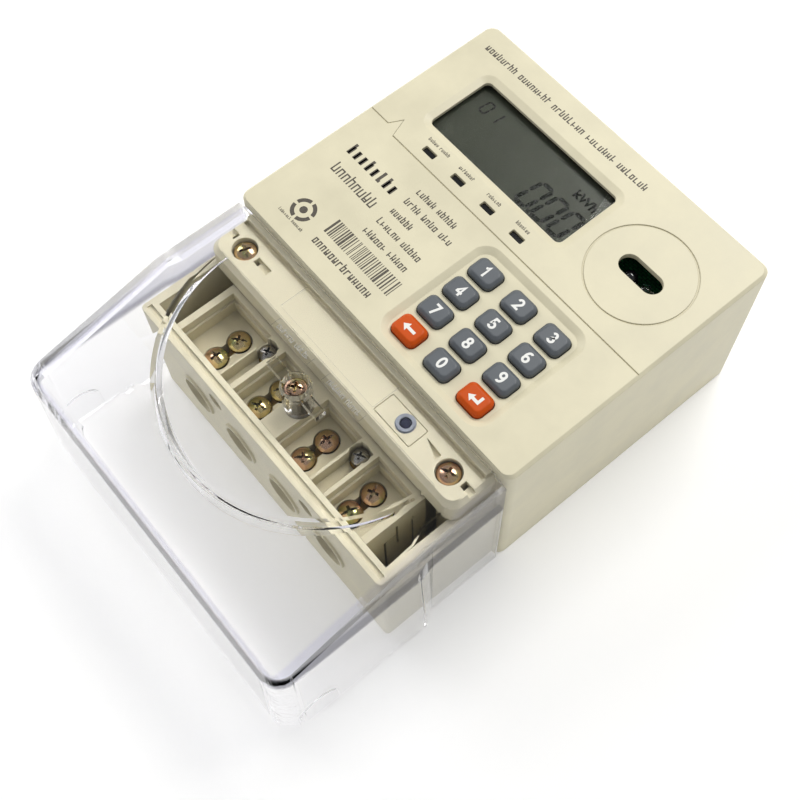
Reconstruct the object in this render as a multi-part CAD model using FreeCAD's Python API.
import FreeCAD, Part
import math
import os

# Prepaid electricity meter lying on its back, in millimetres.
# +X points to the right of the front face, +Y to its top edge, +Z out of its front face.
# The origin is the centre of the rear footprint, on the plane that touches the wall.

# ---- driving dimensions ----
BODY_WIDTH = 124.0
BODY_DEPTH = 63.5
OVERALL_LENGTH = 190.0
BODY_TOP = OVERALL_LENGTH / 2
COVER_END = -OVERALL_LENGTH / 2
JUNCTION = -9.1
PARTING = 40.0
WALL = 2.4
FACE = 2.0
CORNER = 3.5
EDGE_BEVEL = 1.0

# terminal chamber of the rear case
CHAMBER_WIDTH = 116.0
CHAMBER_WALL = 3.0
CHAMBER_END = -52.0
CHAMBER_FRONT_WALL = 5.0
CHAMBER_TOP = 47.5
LEDGE_WIDTH = 114.0
LEDGE_END = -25.4
LEDGE_TOP = 58.0
LEDGE_SKIRT = 47.8
LIP_HALF = 55.4
LIP_END = -11.2
LIP_GROOVE = 1.4
LIP_TOP = 59.3

# terminals
MAIN_X = (-33.0, -11.0, 11.0, 33.0)
MAIN_CELLS = ((-42.8, -24.8), (-16.3, -4.5), (4.6, 19.1), (28.4, 42.6))
MAIN_SCREW_Y = (-43.0, -34.2)
AUX_X = (-21.4, 23.3)
AUX_CELLS = ((-23.4, -19.0), (20.8, 26.2))
AUX_SCREW_Y = -31.0
BLOCK_HALF = 46.0
BLOCK_TOP = 47.0
CELL_FLOOR = 38.5
ENTRY_Z = 25.0
ENTRY_R = 6.5
CLAMP_BORE_R = 3.75
HEAD_TOP = 40.5

# keypad
KEY_X = (8.2, 22.65, 37.1)
KEY_Y = (30.0, 20.2, 10.4, 0.6)
KEY_LENGTH = 9.8
KEY_HEIGHT = 7.6
KEY_GAP = 0.3
KEY_TOP = 64.4
KEY_TRAVEL = 1.0
PAD = (-0.4, 45.6, -6.4, 38.4)
PAD_SLOPE = 2.2
PAD_DEPTH = 1.2

# display, indicators and optical port
WINDOW = (-45.4, 14.3, 53.4, 78.3)
LAMP_X = (-35.8, -22.3, -8.7, 4.6)
LAMP_Y = 45.4
PORT = (37.8, 64.5)
PORT_RING_R = 17.1
PORT_SLOT_LENGTH = 16.0
PORT_SLOT_WIDTH = 7.0
PORT_PITCH = 6.5
BOARD_TOP = 52.0
BOARD_THICK = 1.6

# clear terminal cover
CLEAR = 2.0
CLEAR_TOP = 61.7
CLEAR_BACK = -9.5
CLEAR_NEAR_HALF = 62.0
CLEAR_FAR_HALF = 65.0
CLEAR_FAR_HALF_TOP = 62.2
CLEAR_END_TOP = 47.2
CLEAR_END_LEAN = 3.4
DISC_R = 50.5
DISC_Y = -24.0
DISC_RISE = 0.4
DISC_EDGE_WIDTH = 1.8
DISC_EDGE_DROP = 1.0
KNOCKOUT_Y = -82.0

# screws of the front cover, and the plunger beside them
CASE_SCREW_X = 47.6
CASE_SCREW_Y = -18.0
PIT_R = 4.1
PIT_DEPTH = 2.9
PLUNGER = (28.5, -17.8)

# wall fixing
FIXING_X = 51.0
FIXING_Y = -34.0
FIXING_R = 2.4

EPS = 0.02

# housing, inner parts
FENCE = JUNCTION + WALL
HALF = BODY_WIDTH / 2
HANGER_PAD = (-13.0, 13.0, 48.0, BODY_TOP - 0.6)
HANGER_HALF = 10.0
HANGER_LOW = 1.1
HANGER_THICK = 1.8
HANGER_BOTTOM = 62.0
HANGER_EYE_Y = 88.0
HANGER_SLOT = (64.0, 84.0)
HANGER_PEG_R = 1.8

# roof, flare and screw boss of the clear cover
ROOF_STATIONS = (
    (CLEAR_BACK + 3, CLEAR_TOP, 56.5),
    (-35.0, CLEAR_TOP, 56.5),
    (-39.5, CLEAR_TOP - 1.1, 58.3),
    (-89.6, CLEAR_END_TOP + 0.9, 58.3),
    (-93.0, CLEAR_END_TOP - 1.3, 58.3),
    (COVER_END - 2, CLEAR_END_TOP - 3.0, 58.3),
)
FLANK_FALL = 0.42
FLARE = (-36.0, -41.0)
BOSS_Y = -35.0
BOSS_R = 4.8
WEB_LOW = 57.4
SCREW_SEAT = 57.6

# clamps and small terminals in the block
AUX_ENTRY_Z = 38.0
AUX_LOW = 35.4
AUX_HIGH = 40.4
AUX_FLOOR = 41.2
AUX_ENTRY_R = 3.1
BLOCK_FRONT = -46.9
BLOCK_BACK = -9.4
CELL_BACK = -28.1
CLAMP_FRONT = -46.5
CLAMP_BACK = -24.5
CLAMP_HALF = 4.5
CLAMP_LOW = 18.5
CLAMP_HIGH = 33.0
TAIL_HALF = 4.0
TAIL_Z = 24.0
TAIL_END = 6.0

# keypad, inner parts
FACE_UNDER = BODY_DEPTH - FACE - PAD_DEPTH
FLANGE_TOP = FACE_UNDER - 0.3
FLANGE_THICK = 1.0
STEM_END = BOARD_TOP + 1.4

# front electronics
BOARD_SCREWS = ((-53.5, 84.5), (53.5, 84.5), (-53.5, 2.0), (53.5, 2.0))
PANE_LOW = BODY_DEPTH - FACE - 1.2

# power electronics on the rear board
POWER_Z = 12.0
POWER_BOARD = (-54.0, 54.0, -2.0, 74.0)
POWER_SCREWS = ((-50.0, 3.0), (50.0, 3.0), (-50.0, 70.0), (50.0, 70.0))
POWER_TOP = POWER_Z + BOARD_THICK
CELL_R = 7.2
CELL_Y = 56.0
CELL_Z = POWER_TOP + 8.4

# node names of repeated parts
KEY_NAMES = (("key_1", "key_2", "key_3"), ("key_4", "key_5", "key_6"),
             ("key_7", "key_8", "key_9"), ("key_back", "key_0", "key_enter"))
CLAMP_NAMES = ("clamp_line_in", "clamp_line_out", "clamp_neutral_in", "clamp_neutral_out")


# ---- small geometry helpers ----
def vec(x, y, z):
    return FreeCAD.Vector(x, y, z)


def block(x0, x1, y0, y1, z0, z1):
    return Part.makeBox(x1 - x0, y1 - y0, z1 - z0, vec(x0, y0, z0))


def rod(x, y, z0, z1, radius):
    return Part.makeCylinder(radius, z1 - z0, vec(x, y, z0), vec(0, 0, 1))


def rod_y(x, z, y0, y1, radius):
    return Part.makeCylinder(radius, y1 - y0, vec(x, y0, z), vec(0, 1, 0))


def tube(x, y, z0, z1, outer, inner):
    return rod(x, y, z0, z1, outer).cut(rod(x, y, z0, z1, inner))


def round_wire(x0, x1, y0, y1, z, radius):
    """Rectangle with round corners, counter-clockwise from the lower edge."""
    r = radius
    k = r * (1 - math.sqrt(0.5))
    corners = (
        ((x1 - r, y0), (x1 - k, y0 + k), (x1, y0 + r)),
        ((x1, y1 - r), (x1 - k, y1 - k), (x1 - r, y1)),
        ((x0 + r, y1), (x0 + k, y1 - k), (x0, y1 - r)),
        ((x0, y0 + r), (x0 + k, y0 + k), (x0 + r, y0)),
    )
    edges = []
    last = (x0 + r, y0)
    for start, middle, end in corners:
        edges.append(Part.LineSegment(vec(*last, z), vec(*start, z)).toShape())
        edges.append(Part.Arc(vec(*start, z), vec(*middle, z), vec(*end, z)).toShape())
        last = end
    return Part.Wire(edges)


def round_plate(x0, x1, y0, y1, z0, z1, radius):
    face = Part.Face(round_wire(x0, x1, y0, y1, z0, radius))
    return face.extrude(vec(0, 0, z1 - z0))


def taper(rect_low, r_low, z_low, rect_high, r_high, z_high):
    """Solid between two round-cornered rectangles."""
    low = round_wire(*rect_low, z_low, r_low)
    high = round_wire(*rect_high, z_high, r_high)
    return Part.makeLoft([low, high], True, True)


def grown(rect, margin):
    x0, x1, y0, y1 = rect
    return (x0 - margin, x1 + margin, y0 - margin, y1 + margin)


def around(x, y, length, width):
    return (x - length / 2, x + length / 2, y - width / 2, y + width / 2)


def outline_groove(rect, radius, width, z0, z1):
    outer = round_plate(*grown(rect, width / 2), z0, z1, radius + width / 2)
    return outer.cut(round_plate(*grown(rect, -width / 2), z0, z1, radius - width / 2))


def polygon_y(points, y0, y1):
    """Closed (x, z) polygon pushed along Y."""
    wire = Part.makePolygon([vec(x, y0, z) for x, z in points + points[:1]])
    return Part.Face(wire).extrude(vec(0, y1 - y0, 0))


def polygon_z(points, z0, z1):
    """Closed (x, y) polygon pushed along Z."""
    wire = Part.makePolygon([vec(x, y, z0) for x, y in points + points[:1]])
    return Part.Face(wire).extrude(vec(0, 0, z1 - z0))


def fuse_all(shapes):
    shapes = list(shapes)
    return shapes[0].multiFuse(shapes[1:]).removeSplitter() if len(shapes) > 1 else shapes[0]


def save(name, shape):
    if isinstance(shape, (list, tuple)):
        shape = Part.makeCompound(list(shape))
    for solid in shape.Solids:
        if not solid.isValid():
            print("invalid solid in", name)
    print(name, len(shape.Solids), round(shape.Volume, 1))
    shape.exportStep("parts/" + name + ".step")


# ---- housing ----


def hanger_channel():
    """T-shaped channel in the back for the sliding hanger, with the peg that stops it left standing."""
    gap = 0.3
    top = HANGER_LOW + HANGER_THICK + gap
    wide = block(-HANGER_HALF - gap, HANGER_HALF + gap, HANGER_BOTTOM - 2, BODY_TOP + 1, HANGER_LOW - gap, top)
    mouth = block(-7.5, 7.5, HANGER_BOTTOM - 2, BODY_TOP + 1, -1, HANGER_LOW)
    peg = rod(0, HANGER_SLOT[1] - 2.2, HANGER_LOW - gap, top, HANGER_PEG_R)
    return wide.fuse(mouth).cut(peg)


def case_posts():
    """Posts that the two cover screws go down into, and the stand-offs of the power board."""
    posts = [rod(side * CASE_SCREW_X, CASE_SCREW_Y, WALL - 0.5, 45.5, 3.4) for side in (-1, 1)]
    posts += [rod(x, y, WALL - 0.5, POWER_Z, 3.0) for x, y in POWER_SCREWS]
    return posts


def case_post_bores():
    bores = [rod(side * CASE_SCREW_X, CASE_SCREW_Y, 26, 46, 1.75) for side in (-1, 1)]
    bores += [rod(x, y, POWER_Z - 6, POWER_Z + 1, 1.3) for x, y in POWER_SCREWS]
    return bores


def rear_case():
    body = round_plate(-HALF, HALF, JUNCTION, BODY_TOP, 0, PARTING, CORNER)
    half = CHAMBER_WIDTH / 2
    chamber = round_plate(-half, half, CHAMBER_END, JUNCTION + 4, 0, CHAMBER_TOP, 1.5)
    chamber = chamber.cut(block(-HALF, HALF, JUNCTION, 0, PARTING, BODY_DEPTH))
    outer = body.fuse(chamber)
    inside = (-HALF + WALL, HALF - WALL, FENCE, BODY_TOP - WALL)
    hollow = round_plate(*inside, WALL, PARTING + 1, CORNER - 1)
    front = CHAMBER_END + CHAMBER_FRONT_WALL
    pit = block(-half + CHAMBER_WALL, half - CHAMBER_WALL, front, JUNCTION, WALL, CHAMBER_TOP + 1)
    shell = outer.cut([hollow, pit])
    extras = [block(*HANGER_PAD, WALL - 0.5, 5.6)]
    extras += case_posts()
    extras += [block(-half + CHAMBER_WALL - EPS, half - CHAMBER_WALL + EPS, JUNCTION - 0.01, FENCE, 30, PARTING)]
    shell = shell.multiFuse(extras)
    tools = [hanger_channel()] + case_post_bores()
    tools += [rod_y(x, ENTRY_Z, CHAMBER_END - 1, front + 1, ENTRY_R) for x in MAIN_X]
    tools += [rod_y(x, AUX_ENTRY_Z, CHAMBER_END - 1, front + 1, AUX_ENTRY_R) for x in AUX_X]
    tools += [block(x - TAIL_HALF - 0.3, x + TAIL_HALF + 0.3, JUNCTION - 1, FENCE + 1, TAIL_Z - 0.3, TAIL_Z + 2.3)
              for x in MAIN_X]
    tools += [block(x - 1.3, x + 1.3, JUNCTION - 1, FENCE + 1, AUX_ENTRY_Z - 0.8, AUX_ENTRY_Z + 0.8) for x in AUX_X]
    tools += [rod(side * FIXING_X, FIXING_Y, -1, WALL + 1, FIXING_R) for side in (-1, 1)]
    tools.append(block(-half + 1.5, half - 1.5, CHAMBER_END + 1.5, CHAMBER_END + 3.2, CHAMBER_TOP - 0.7,
                       CHAMBER_TOP + 1))
    tools.append(seal_groove(PARTING - 1.0, PARTING + 0.5))
    shell = shell.cut(tools)
    rims = [rod_y(x, ENTRY_Z, CHAMBER_END - 0.8, CHAMBER_END + 0.5, ENTRY_R + 1.0).cut(
        rod_y(x, ENTRY_Z, CHAMBER_END - 2, CHAMBER_END + 2, ENTRY_R)) for x in MAIN_X]
    return shell.multiFuse(rims)


def seal_groove(z0, z1):
    """Band in the middle of the case wall, all round the main body."""
    outer = grown((-HALF, HALF, JUNCTION, BODY_TOP), -0.8)
    inner = grown((-HALF, HALF, JUNCTION, BODY_TOP), -1.6)
    return round_plate(*outer, z0, z1, CORNER - 0.8).cut(round_plate(*inner, z0, z1, CORNER - 1.6))


def case_seal():
    return seal_groove(PARTING - 1.0, PARTING + 1.0)


def key_holes():
    tools = []
    for x in KEY_X:
        for y in KEY_Y:
            rect = around(x, y, KEY_LENGTH + 2 * KEY_GAP, KEY_HEIGHT + 2 * KEY_GAP)
            tools.append(round_plate(*rect, 50, BODY_DEPTH + 1, 2.3))
    return tools


def stadium(x, y, length, width, z0, z1):
    half = (length - width) / 2
    ends = [rod(x - half, y, z0, z1, width / 2), rod(x + half, y, z0, z1, width / 2)]
    middle = block(x - half, x + half, y - width / 2, y + width / 2, z0, z1)
    return fuse_all(ends + [middle])


def face_grooves():
    """Divider line with its short zigzag, and the locating ring of the optical port."""
    top = BODY_DEPTH + 0.5
    bottom = BODY_DEPTH - 0.3
    width = 0.45
    line = [(-HALF - 1, 43.0), (-53.0, 43.0), (-50.6, 47.6), (-48.2, 41.0), (HALF + 1, 41.0)]
    lower = [(x, y - width) for x, y in reversed(line)]
    groove = polygon_z(line + lower, bottom, top)
    ring = tube(*PORT, bottom, top, PORT_RING_R + 0.3, PORT_RING_R - 0.3)
    return [groove, ring]


def face_openings():
    top = BODY_DEPTH + EPS
    tools = [round_plate(*WINDOW, 50, BODY_DEPTH + 1, 2.0)]
    tools.append(taper(WINDOW, 2.0, top - 0.9, grown(WINDOW, 2.5), 4.4, top))
    tools += [round_plate(*around(x, LAMP_Y, 5.2, 2.3), 50, BODY_DEPTH + 1, 0.4) for x in LAMP_X]
    floor = grown(PAD, -PAD_SLOPE)
    tools.append(taper(floor, 4.0, BODY_DEPTH - PAD_DEPTH, PAD, 6.0, top))
    tools += key_holes()
    tools.append(stadium(*PORT, PORT_SLOT_LENGTH, PORT_SLOT_WIDTH, 50, BODY_DEPTH + 1))
    return tools + face_grooves()


def ledge_details():
    """Screw pits, hatch line, plunger hole, marks and notches of the ledge."""
    top = LEDGE_TOP + 0.5
    tools = [rod(side * CASE_SCREW_X, CASE_SCREW_Y, LEDGE_TOP - PIT_DEPTH, top, PIT_R) for side in (-1, 1)]
    tools += [rod(side * CASE_SCREW_X, CASE_SCREW_Y, 40, top, 2.1) for side in (-1, 1)]
    tools.append(rod(*PLUNGER, 50, top, 3.1))
    tools.append(outline_groove((19.2, 34.6, -21.9, -14.6), 0.5, 0.3, LEDGE_TOP - 0.3, top))
    tools.append(polygon_z([(35.8, -16.0), (42.4, -18.6), (42.4, -16.4)], LEDGE_TOP - 1.2, top))
    tools.append(block(-42.4, -36.2, -18.8, -16.5, LEDGE_TOP - 1.3, top))
    tools.append(block(-42.4, -41.0, -18.8, -17.2, LEDGE_TOP - 4, top))
    for side in (-1, 1):
        outer = sorted((side * 52.7, side * 57.5))
        inner = sorted((side * 52.7, side * 54.2))
        tools.append(block(*outer, -18.5, -16.1, LEDGE_TOP - 1.3, top))
        tools.append(block(*inner, -18.5, -16.1, LEDGE_TOP - 4, top))
    tools.append(block(-LIP_HALF, LIP_HALF, LIP_END - LIP_GROOVE, LIP_END, LEDGE_TOP - 1.3, top))
    return tools


def ledge_blank(width, end, z0, z1, radius):
    """Step of the front cover over the terminal block, with a rounded lower edge."""
    half = width / 2
    shape = round_plate(-half, half, end, JUNCTION + 6, z0, z1 - 2.0, radius)
    crown = taper((-half, half, end, JUNCTION + 6), radius, z1 - 2.0 - EPS,
                  (-half + 1.2, half - 1.2, end + 1.4, JUNCTION + 6), radius, z1)
    return shape.fuse(crown).cut(block(-half - 1, half + 1, JUNCTION + 1, JUNCTION + 8, z0 - 1, z1 + 1))


def front_cover():
    body = round_plate(-HALF, HALF, JUNCTION, BODY_TOP, PARTING, BODY_DEPTH - EDGE_BEVEL, CORNER)
    rect = (-HALF, HALF, JUNCTION, BODY_TOP)
    bevel_rect = (-HALF + EDGE_BEVEL, HALF - EDGE_BEVEL, JUNCTION + 0.5, BODY_TOP - EDGE_BEVEL)
    bevel = taper(rect, CORNER, BODY_DEPTH - EDGE_BEVEL - EPS, bevel_rect, CORNER - 0.5, BODY_DEPTH)
    ledge = ledge_blank(LEDGE_WIDTH, LEDGE_END, LEDGE_SKIRT, LEDGE_TOP, 4.0)
    outer = body.multiFuse([bevel, ledge])
    inside = grown(rect, -WALL)
    hollow = round_plate(*inside, PARTING - 1, BODY_DEPTH - FACE - PAD_DEPTH, CORNER - 1)
    roof = round_plate(*inside, BODY_DEPTH - FACE - PAD_DEPTH - 1, BODY_DEPTH - FACE, CORNER - 1)
    roof = roof.cut(round_plate(*grown(PAD, 1.5), 50, BODY_DEPTH, 4.0))
    ledge_hollow = block(-LEDGE_WIDTH / 2 + FACE, LEDGE_WIDTH / 2 - FACE, LEDGE_END + FACE, FENCE + 1,
                         44, LEDGE_TOP - FACE)
    shell = outer.cut([hollow, roof, ledge_hollow])
    extras = [rod(side * CASE_SCREW_X, CASE_SCREW_Y, 46.0, LEDGE_TOP - 1.0, 5.6) for side in (-1, 1)]
    extras += [rod(x, y, BOARD_TOP, BODY_DEPTH - FACE + 0.5, 2.6) for x, y in BOARD_SCREWS]
    extras.append(block(-LIP_HALF, LIP_HALF, LIP_END, JUNCTION + 0.5, LEDGE_TOP - 1.0, LIP_TOP))
    shell = shell.multiFuse(extras)
    tools = face_openings() + ledge_details()
    tools += [rod(x, y, BOARD_TOP - 1, BOARD_TOP + 6, 1.0) for x, y in BOARD_SCREWS]
    tools.append(seal_groove(PARTING - 0.5, PARTING + 1.0))
    return shell.cut(tools)


# ---- clear terminal cover ----
# along Y: height of the roof, half width of its flat part, and the fall of its rounded flanks


def cover_outline(z, near, far, end, radius, back):
    """Plan outline of the clear cover: straight flanks, a short flare, round far corners."""
    k = radius * (1 - math.sqrt(0.5))
    y0, y1 = FLARE
    edges = [
        Part.LineSegment(vec(-far + radius, end, z), vec(far - radius, end, z)),
        Part.Arc(vec(far - radius, end, z), vec(far - k, end + k, z), vec(far, end + radius, z)),
        Part.LineSegment(vec(far, end + radius, z), vec(far, y1, z)),
        Part.LineSegment(vec(far, y1, z), vec(near, y0, z)),
        Part.LineSegment(vec(near, y0, z), vec(near, back, z)),
        Part.LineSegment(vec(near, back, z), vec(-near, back, z)),
        Part.LineSegment(vec(-near, back, z), vec(-near, y0, z)),
        Part.LineSegment(vec(-near, y0, z), vec(-far, y1, z)),
        Part.LineSegment(vec(-far, y1, z), vec(-far, end + radius, z)),
        Part.Arc(vec(-far, end + radius, z), vec(-far + k, end + k, z), vec(-far + radius, end, z)),
    ]
    return Part.Wire([edge.toShape() for edge in edges])


def roof_prism(inset):
    """Everything under the sloping roof with its falling flanks."""
    wide = 80.0
    wires = []
    for y, top, flat in ROOF_STATIONS:
        top -= inset
        flat -= inset * 0.5
        low = top - (wide - flat) * FLANK_FALL
        points = [(-wide, -2.0), (wide, -2.0), (wide, low), (flat, top), (-flat, top), (-wide, low)]
        wires.append(Part.makePolygon([vec(x, y + (inset if y < -80 else 0.0), z) for x, z in points + points[:1]]))
    return Part.makeLoft(wires, True, True)


def cover_solid(inset):
    """Outer form of the clear cover for inset 0, the space inside it for inset CLEAR."""
    low_z = -1.0 if inset else 0.0
    back = CLEAR_BACK + (1.0 if inset else 0.0)
    near = CLEAR_NEAR_HALF - inset
    low = cover_outline(low_z, near, CLEAR_FAR_HALF - inset, COVER_END + inset, 8.0 - inset, back)
    high = cover_outline(CLEAR_TOP + 1, near, CLEAR_FAR_HALF_TOP - inset, COVER_END + CLEAR_END_LEAN + inset,
                         6.5 - inset / 2, back)
    walls = Part.makeLoft([low, high], True, True)
    roofed = walls.common(roof_prism(inset))
    radius = DISC_R - inset * 0.8
    shoulder = CLEAR_TOP + DISC_RISE - inset - DISC_EDGE_DROP
    disc = rod(0, DISC_Y, low_z, shoulder, radius)
    crown = Part.makeCone(radius, radius - DISC_EDGE_WIDTH, DISC_EDGE_DROP, vec(0, DISC_Y, shoulder), vec(0, 0, 1))
    disc = disc.fuse(crown)
    disc = disc.cut(block(-80, 80, DISC_Y - 0.5, 60, -3, 80))
    return roofed.fuse(walls.common(disc))


def cover_boss():
    """Hollow post for the cover screw over the middle of the block, with a web to each side."""
    post = rod(0, BOSS_Y, BLOCK_TOP + 0.8, CLEAR_TOP - 0.5, BOSS_R)
    web = block(-11.6, 11.6, BOSS_Y - 1.7, BOSS_Y + 1.7, WEB_LOW, CLEAR_TOP - 0.5)
    return post.fuse(web)


def knockout_plug(side, radius):
    """Upright D-shaped plug across a side wall: a disc on a stem down to the rear edge."""
    outside = side * (CLEAR_FAR_HALF - 1.0)
    x0 = min(outside, outside + side * 3)
    disc = Part.makeCylinder(radius, 3, vec(x0, KNOCKOUT_Y, 8.0), vec(1, 0, 0))
    stem = block(x0, x0 + 3, KNOCKOUT_Y - radius, KNOCKOUT_Y + radius, -1, 8.0)
    return disc.fuse(stem)


def cover_knockouts():
    """Fine D-shaped grooves that mark the cable outlets at the far end of both side walls."""
    return [knockout_plug(side, 7.4).cut(knockout_plug(side, 6.8)) for side in (-1, 1)]


def cover_marks():
    """Raised frames of the blank label fields on top."""
    z0 = CLEAR_TOP - 0.2
    z1 = CLEAR_TOP + 0.25
    frames = [outline_groove(around(x, -27.0, 17.0, 3.4), 0.5, 0.35, z0, z1 + DISC_RISE) for x in (-11.0, 12.5)]
    frames.append(outline_groove((-23.0, 20.0, -22.8, -12.8), 0.5, 0.35, z0, z1))
    return frames


def terminal_cover():
    shell = cover_solid(0).cut(cover_solid(CLEAR))
    shell = shell.multiFuse([cover_boss()] + cover_marks())
    tools = [rod(0, BOSS_Y, 40, CLEAR_TOP + 1, 2.3)]
    tools.append(rod(0, BOSS_Y, SCREW_SEAT, CLEAR_TOP + 1, 3.9))
    tools += cover_knockouts()
    return shell.cut(tools)


def cover_screw():
    """Long captive screw of the clear cover."""
    return pan_head_screw(0, BOSS_Y, 39.0, SCREW_SEAT, SCREW_SEAT + 2.9, 3.6, 1.9, 38)


# ---- terminals ----


def terminal_block():
    body = block(-BLOCK_HALF, BLOCK_HALF, BLOCK_FRONT, -25.2, WALL + 0.1, BLOCK_TOP)
    rear = block(-42.0, 42.0, -25.3, BLOCK_BACK, WALL + 0.1, 44.0)
    shape = body.fuse(rear)
    tools = [block(x0, x1, BLOCK_FRONT - 1, CELL_BACK, CELL_FLOOR, BLOCK_TOP + 1) for x0, x1 in MAIN_CELLS]
    tools += [block(x0 - 0.8, x1 + 0.8, BLOCK_FRONT - 1, CELL_BACK + 0.8, 43.6, BLOCK_TOP + 1)
              for x0, x1 in MAIN_CELLS]
    for x in MAIN_X:
        tools += [rod(x, y, CLAMP_HIGH - 1, CELL_FLOOR + 1, 4.1) for y in MAIN_SCREW_Y]
        tools.append(block(x - 2.2, x + 2.2, MAIN_SCREW_Y[0], MAIN_SCREW_Y[1], CLAMP_HIGH - 1, CELL_FLOOR + 1))
        tools.append(block(x - CLAMP_HALF, x + CLAMP_HALF, BLOCK_FRONT - 1, CLAMP_BACK, CLAMP_LOW, CLAMP_HIGH))
        tools.append(block(x - TAIL_HALF, x + TAIL_HALF, CLAMP_BACK - 1, BLOCK_BACK + 1, TAIL_Z, TAIL_Z + 2))
    for x, (x0, x1) in zip(AUX_X, AUX_CELLS):
        tools.append(block(x0, x1, BLOCK_FRONT - 1, CELL_BACK, AUX_FLOOR, BLOCK_TOP + 1))
        tools.append(rod(x, AUX_SCREW_Y, AUX_HIGH - 0.5, BLOCK_TOP + 1, 3.3))
        tools.append(block(x - 2.2, x + 2.2, BLOCK_FRONT - 1, -26.5, AUX_LOW, AUX_HIGH))
        tools.append(block(x - 1.0, x + 1.0, -27.0, BLOCK_BACK + 1, AUX_ENTRY_Z - 0.5, AUX_ENTRY_Z + 0.5))
    tools.append(rod(0, BOSS_Y, 38, BLOCK_TOP + 1, 1.98))
    tools += side_latch()
    return shape.cut(tools)


def side_latch():
    """L-shaped slots that free a snap finger in each flank of the block."""
    tools = []
    for side in (-1, 1):
        deep = sorted((side * (BLOCK_HALF - 1.2), side * (BLOCK_HALF + 1)))
        tools.append(block(*deep, -41.0, -40.2, 12, 36))
        tools.append(block(*deep, -41.0, -35.5, 35.2, 36))
        tools.append(block(*deep, -36.3, -35.5, 28, 42))
        tools.append(block(*deep, -30.4, -29.8, 12, 40))
    return tools


def main_clamp(x):
    """Brass cage clamp with a blind cable bore, two tapped holes and a tail into the meter."""
    cage = block(x - CLAMP_HALF, x + CLAMP_HALF, CLAMP_FRONT, CLAMP_BACK, CLAMP_LOW, CLAMP_HIGH)
    tail = block(x - TAIL_HALF, x + TAIL_HALF, CLAMP_BACK - 0.5, TAIL_END, TAIL_Z, TAIL_Z + 2)
    tools = [rod_y(x, ENTRY_Z, CLAMP_FRONT - 1, CLAMP_BACK - 2, CLAMP_BORE_R)]
    tools += [rod(x, y, ENTRY_Z, CLAMP_HIGH + 1, 2.0) for y in MAIN_SCREW_Y]
    return cage.fuse(tail).cut(tools)


def aux_clamps():
    shapes = []
    for x in AUX_X:
        cage = block(x - 2.2, x + 2.2, CLAMP_FRONT, -26.5, AUX_LOW, AUX_HIGH)
        tail = block(x - 1.0, x + 1.0, -27.0, TAIL_END, AUX_ENTRY_Z - 0.5, AUX_ENTRY_Z + 0.5)
        bore = rod_y(x, AUX_ENTRY_Z, CLAMP_FRONT - 1, -28.0, 1.5)
        shapes.append(cage.fuse(tail).cut([bore, rod(x, AUX_SCREW_Y, AUX_ENTRY_Z, AUX_HIGH + 1, 1.3)]))
    return shapes


def pan_head_screw(x, y, tip, head_low, head_high, head_r, shank_r, turn):
    """Pan head screw, pointing down, with a domed crown, a tapered cross recess and a slot."""
    height = head_high - head_low
    rise = height * 0.55
    dome_r = (head_r ** 2 + rise ** 2) / (2 * rise)
    dome = Part.makeSphere(dome_r, vec(x, y, head_high - dome_r))
    head = rod(x, y, head_low, head_high, head_r).common(
        dome.fuse(rod(x, y, head_low, head_high - rise, head_r)))
    shank = rod(x, y, tip + shank_r * 0.6, head_low + 0.1, shank_r)
    point = Part.makeCone(shank_r * 0.5, shank_r, shank_r * 0.6, vec(x, y, tip), vec(0, 0, 1))
    screw = head.multiFuse([shank, point])
    arm = head_r * 0.58
    wide = head_r * 0.13
    depth = height * 0.62
    taper_points = [(x - arm, head_high + 0.1), (x - arm * 0.4, head_high - depth),
                    (x + arm * 0.4, head_high - depth), (x + arm, head_high + 0.1)]
    first = polygon_y(taper_points, y - wide, y + wide)
    second = first.copy()
    second.rotate(vec(x, y, 0), vec(0, 0, 1), 90)
    slot = block(x - head_r * 0.86, x + head_r * 0.86, y - wide * 0.6, y + wide * 0.6, head_high - height * 0.3,
                 head_high + 1)
    recess = [first, second, slot]
    for tool in recess:
        tool.rotate(vec(x, y, 0), vec(0, 0, 1), turn)
    return screw.cut(recess)


def terminal_screws():
    shapes = []
    for i, x in enumerate(MAIN_X):
        for j, y in enumerate(MAIN_SCREW_Y):
            turn = 25 * i + 40 * j
            shapes.append(pan_head_screw(x, y, 29.2, HEAD_TOP - 2.9, HEAD_TOP, 3.6, 1.9, turn))
    return shapes


def aux_screws():
    """Small screws standing proud of their clamps on a washer."""
    shapes = []
    for x in AUX_X:
        screw = pan_head_screw(x, AUX_SCREW_Y, 39.7, 43.2, 45.6, 2.8, 1.2, 30)
        shapes.append(screw.fuse(rod(x, AUX_SCREW_Y, 42.5, 43.3, 2.6)))
    return shapes


def case_screws():
    return [pan_head_screw(side * CASE_SCREW_X, CASE_SCREW_Y, 30, LEDGE_TOP - PIT_DEPTH, LEDGE_TOP, 3.75, 1.7,
                           20 * side) for side in (-1, 1)]


# ---- keypad ----


def key(x, y):
    """Key cap with a bevelled crown, a retaining flange and a stem that presses the contact."""
    rect = around(x, y, KEY_LENGTH, KEY_HEIGHT)
    shoulder = KEY_TOP - 0.9
    cap = round_plate(*rect, FLANGE_TOP - 0.1, shoulder, 2.0)
    crown = taper(rect, 2.0, shoulder - EPS, grown(rect, -1.0), 1.3, KEY_TOP)
    flange = round_plate(*grown(rect, 0.9), FLANGE_TOP - FLANGE_THICK, FLANGE_TOP, 2.0)
    stem = rod(x, y, STEM_END, FLANGE_TOP - 0.5, 1.8)
    return cap.multiFuse([crown, flange, stem])


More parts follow.
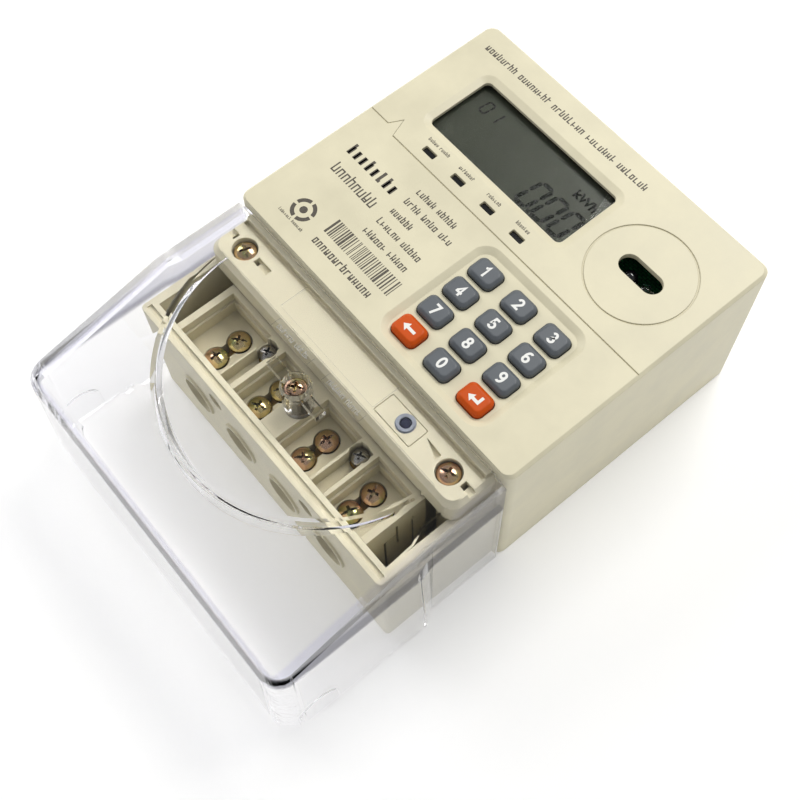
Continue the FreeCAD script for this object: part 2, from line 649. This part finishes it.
def keypad_mat():
    """Rubber sheet on the display board with a collar round every key stem."""
    sheet = round_plate(*grown(PAD, -1.0), BOARD_TOP, BOARD_TOP + 1.0, 3.0)
    collars = []
    holes = []
    for x in KEY_X:
        for y in KEY_Y:
            top = FLANGE_TOP - FLANGE_THICK - KEY_TRAVEL - 0.3
            cone = Part.makeCone(3.7, 2.9, top - BOARD_TOP - 0.5, vec(x, y, BOARD_TOP + 0.5), vec(0, 0, 1))
            collars.append(cone)
            holes.append(rod(x, y, BOARD_TOP - 1, top + 1, 2.3))
    return sheet.multiFuse(collars).cut(holes)


# ---- front electronics ----


def display_board():
    main = round_plate(-57.0, 57.0, -5.0, 90.0, BOARD_TOP - BOARD_THICK, BOARD_TOP, 2.0)
    tongue = block(14.0, 40.0, -22.0, -4.0, BOARD_TOP - BOARD_THICK, BOARD_TOP)
    holes = [rod(x, y, 48, 54, 1.2) for x, y in BOARD_SCREWS]
    return main.fuse(tongue).cut(holes)


def board_screws():
    shapes = [screw_up(x, y, BOARD_TOP - BOARD_THICK) for x, y in BOARD_SCREWS]
    shapes += [pan_head_screw(x, y, POWER_Z - 4, POWER_Z + BOARD_THICK, POWER_Z + BOARD_THICK + 1.8, 2.4, 1.2, 10)
               for x, y in POWER_SCREWS]
    return shapes


def screw_up(x, y, seat):
    """Small screw driven upwards into a boss of the front cover."""
    head = rod(x, y, seat - 1.6, seat, 2.2)
    shank = rod(x, y, seat - 0.1, seat + 6.0, 0.95)
    slot = block(x - 1.4, x + 1.4, y - 0.25, y + 0.25, seat - 2, seat - 0.9)
    return head.fuse(shank).cut(slot)


def display_window():
    return round_plate(*grown(WINDOW, 2.0), PANE_LOW, PANE_LOW + 1.2, 1.5)


def lcd_panel():
    return block(*grown(WINDOW, 1.0), PANE_LOW - 2.4, PANE_LOW - 0.2)


def lcd_backlight():
    low = BOARD_TOP
    tray = block(*grown(WINDOW, 1.4), low, PANE_LOW - 2.4)
    legs = block(*grown(WINDOW, -3.0), low - 1, low + 1.5)
    return tray.cut(legs)


def indicator_lamps():
    """Four rectangular lamps with their lead frames standing on the display board."""
    shapes = []
    for x in LAMP_X:
        lens = round_plate(*around(x, LAMP_Y, 4.8, 1.9), BOARD_TOP + 4.0, BODY_DEPTH - 0.9, 0.3)
        foot = block(x - 2.6, x + 2.6, LAMP_Y - 1.3, LAMP_Y + 1.3, BOARD_TOP + 2.6, BOARD_TOP + 4.1)
        legs = [block(x + s * 1.27 - 0.3, x + s * 1.27 + 0.3, LAMP_Y - 0.3, LAMP_Y + 0.3, BOARD_TOP, BOARD_TOP + 2.8)
                for s in (-1, 1)]
        shapes.append(lens.multiFuse([foot] + legs))
    return shapes


def round_lamp(x, y):
    """Round infrared device, 5 mm, with a domed lens, a collar and two legs."""
    body = rod(x, y, BOARD_TOP + 2.0, BODY_DEPTH - 6.5, 2.45)
    dome = Part.makeSphere(2.45, vec(x, y, BODY_DEPTH - 6.5))
    collar = rod(x, y, BOARD_TOP + 2.0, BOARD_TOP + 3.0, 2.9)
    legs = [block(x - 0.25, x + 0.25, y + s * 1.27 - 0.25, y + s * 1.27 + 0.25, BOARD_TOP, BOARD_TOP + 2.2)
            for s in (-1, 1)]
    return body.multiFuse([dome, collar] + legs)


def port_plate():
    """Steel ring behind the face that the magnet of a reading head holds on to."""
    z1 = BODY_DEPTH - FACE
    return tube(*PORT, z1 - 1.2, z1, 15.8, 10.4)


def tamper_plunger():
    """Spring-loaded pin through the ledge, with a retaining collar."""
    pin = rod(*PLUNGER, 55.0, LEDGE_TOP + 0.2, 1.5)
    collar = rod(*PLUNGER, 54.2, 55.1, 2.4)
    return pin.fuse(collar)


def plunger_boot():
    """Soft grey ring pressed into the ledge round the plunger."""
    lower = tube(*PLUNGER, LEDGE_TOP - FACE, LEDGE_TOP + 0.1, 3.1, 1.8)
    lip = tube(*PLUNGER, LEDGE_TOP + 0.0, LEDGE_TOP + 0.5, 2.8, 1.8)
    return lower.fuse(lip)


def tamper_switch():
    x, y = PLUNGER
    return block(x - 3.0, x + 3.0, y - 3.0, y + 3.0, BOARD_TOP, BOARD_TOP + 0.8)


# ---- power electronics on the rear board ----


def power_board():
    board = round_plate(*POWER_BOARD, POWER_Z, POWER_TOP, 2.0)
    return board.cut([rod(x, y, POWER_Z - 1, POWER_TOP + 1, 1.5) for x, y in POWER_SCREWS])


def latching_relay():
    """Latching load switch in its closed case, with two flat load lugs that meet the line bars."""
    body = round_plate(-46.0, -8.0, 18.0, 48.0, POWER_TOP, POWER_TOP + 17.0, 1.2)
    lugs = [block(x - 4.0, x + 4.0, 14.0, 18.5, TAIL_Z + 2.0, TAIL_Z + 3.6) for x in (MAIN_X[0], MAIN_X[1])]
    return body.multiFuse(lugs)


def line_bar():
    """Bar from the line-out clamp tail to the relay."""
    x = MAIN_X[1]
    return block(x - 4.0, x + 4.0, 1.0, 13.9, TAIL_Z + 2.0, TAIL_Z + 3.6)


def current_shunt():
    """Shunt between the line-in clamp tail and the relay: two copper ends and a resistive middle."""
    x = MAIN_X[0]
    bar = block(x - 4.0, x + 4.0, 1.0, 14.0, TAIL_Z + 2.0, TAIL_Z + 3.6)
    waist = [block(x + s * 4.0 - 1.2, x + s * 4.0 + 1.2, 5.5, 9.5, TAIL_Z + 1, TAIL_Z + 4) for s in (-1, 1)]
    return bar.cut(waist)


def neutral_bar():
    """Bridge across the two neutral clamp tails."""
    x0, x1 = MAIN_X[2], MAIN_X[3]
    return block(x0 - 4.0, x1 + 4.0, 1.0, 6.0, TAIL_Z + 2.0, TAIL_Z + 3.6)


def mains_capacitor():
    body = round_plate(2.0, 28.0, 14.0, 24.0, POWER_TOP + 0.6, POWER_TOP + 18.0, 1.0)
    legs = [rod(x, 19.0, POWER_TOP, POWER_TOP + 1.0, 0.5) for x in (4.0, 26.0)]
    return body.multiFuse(legs)


def filter_capacitor():
    can = rod(38.0, 24.0, POWER_TOP + 0.2, POWER_TOP + 16.0, 6.3)
    groove = tube(38.0, 24.0, POWER_TOP + 2.6, POWER_TOP + 3.4, 7.0, 5.9)
    legs = [rod(38.0 + s * 2.5, 24.0, POWER_TOP, POWER_TOP + 1.0, 0.4) for s in (-1, 1)]
    return can.cut(groove).multiFuse(legs)


def surge_varistor():
    disc = Part.makeCylinder(7.0, 4.0, vec(8.0, 32.0, POWER_TOP + 8.6), vec(0, 1, 0))
    legs = [rod(8.0 + s * 3.75, 34.0, POWER_TOP, POWER_TOP + 4.0, 0.4) for s in (-1, 1)]
    return disc.multiFuse(legs)


def backup_battery():
    """Half-length lithium cell lying in its holder, with its nib."""
    cell = Part.makeCylinder(CELL_R, 24.0, vec(20.0, CELL_Y, CELL_Z), vec(1, 0, 0))
    nib = Part.makeCylinder(2.6, 1.0, vec(43.9, CELL_Y, CELL_Z), vec(1, 0, 0))
    return cell.fuse(nib)


def battery_holder():
    base = block(18.0, 48.0, CELL_Y - 8.4, CELL_Y + 8.4, POWER_TOP, POWER_TOP + 7.0)
    bed = Part.makeCylinder(CELL_R + 0.2, 34.0, vec(16.0, CELL_Y, CELL_Z), vec(1, 0, 0))
    ends = [block(x, x + 2.0, CELL_Y - 7.4, CELL_Y + 7.4, POWER_TOP, POWER_TOP + 13.0) for x in (17.4, 45.2)]
    return base.cut(bed).multiFuse(ends)


def buzzer():
    can = rod(-26.0, 62.0, POWER_TOP + 0.3, POWER_TOP + 9.0, 6.0)
    hole = rod(-26.0, 62.0, POWER_TOP + 8.0, POWER_TOP + 10.0, 1.2)
    legs = [rod(-26.0 + s * 3.2, 62.0, POWER_TOP, POWER_TOP + 0.6, 0.4) for s in (-1, 1)]
    return can.cut(hole).multiFuse(legs)


def board_connector():
    """Pin header and socket stack that joins the two boards."""
    low = block(-6.0, 14.0, 64.0, 69.0, POWER_TOP, POWER_TOP + 9.0)
    high = block(-6.0, 14.0, 64.0, 69.0, BOARD_TOP - BOARD_THICK - 9.0, BOARD_TOP - BOARD_THICK)
    pins = [rod(-3.6 + 2.54 * i, 66.5, POWER_TOP + 8.0, BOARD_TOP - BOARD_THICK - 8.0, 0.32) for i in range(7)]
    return fuse_all([low, high] + pins)


# ---- wall fixing ----
def wall_hanger():
    """Flat hanger that slides out of the back above the top edge, with an eye and a stop slot."""
    top = BODY_TOP - 0.6
    plate = round_plate(-HANGER_HALF, HANGER_HALF, HANGER_BOTTOM, top, HANGER_LOW, HANGER_LOW + HANGER_THICK, 2.0)
    eye = rod(0, HANGER_EYE_Y + 1.0, 0, 4, 2.75)
    low, high = HANGER_SLOT
    slot = block(-2.2, 2.2, low - 0.2, high - 2.2 + 0.2, 0, 4)
    ends = [rod(0, y, 0, 4, 2.2) for y in (low - 0.2, high - 2.0)]
    return plate.cut([eye, slot] + ends)


def main():
    os.makedirs("parts", exist_ok=True)
    save("rear_case", rear_case())
    save("front_cover", front_cover())
    save("case_seal", case_seal())
    save("case_screws", case_screws())
    save("terminal_cover", terminal_cover())
    save("cover_screw", cover_screw())
    save("terminal_block", terminal_block())
    for name, x in zip(CLAMP_NAMES, MAIN_X):
        save(name, main_clamp(x))
    save("terminal_screws", terminal_screws())
    save("aux_clamps", aux_clamps())
    save("aux_screws", aux_screws())
    for row, y in zip(KEY_NAMES, KEY_Y):
        for name, x in zip(row, KEY_X):
            save(name, key(x, y))
    save("keypad_mat", keypad_mat())
    save("display_board", display_board())
    save("board_screws", board_screws())
    save("display_window", display_window())
    save("lcd_panel", lcd_panel())
    save("lcd_backlight", lcd_backlight())
    save("indicator_lamps", indicator_lamps())
    save("ir_receiver", round_lamp(PORT[0] - PORT_PITCH / 2, PORT[1]))
    save("ir_emitter", round_lamp(PORT[0] + PORT_PITCH / 2, PORT[1]))
    save("port_plate", port_plate())
    save("tamper_plunger", tamper_plunger())
    save("plunger_boot", plunger_boot())
    save("tamper_switch", tamper_switch())
    save("power_board", power_board())
    save("latching_relay", latching_relay())
    save("line_bar", line_bar())
    save("current_shunt", current_shunt())
    save("neutral_bar", neutral_bar())
    save("mains_capacitor", mains_capacitor())
    save("filter_capacitor", filter_capacitor())
    save("surge_varistor", surge_varistor())
    save("backup_battery", backup_battery())
    save("battery_holder", battery_holder())
    save("buzzer", buzzer())
    save("board_connector", board_connector())
    save("wall_hanger", wall_hanger())


main()
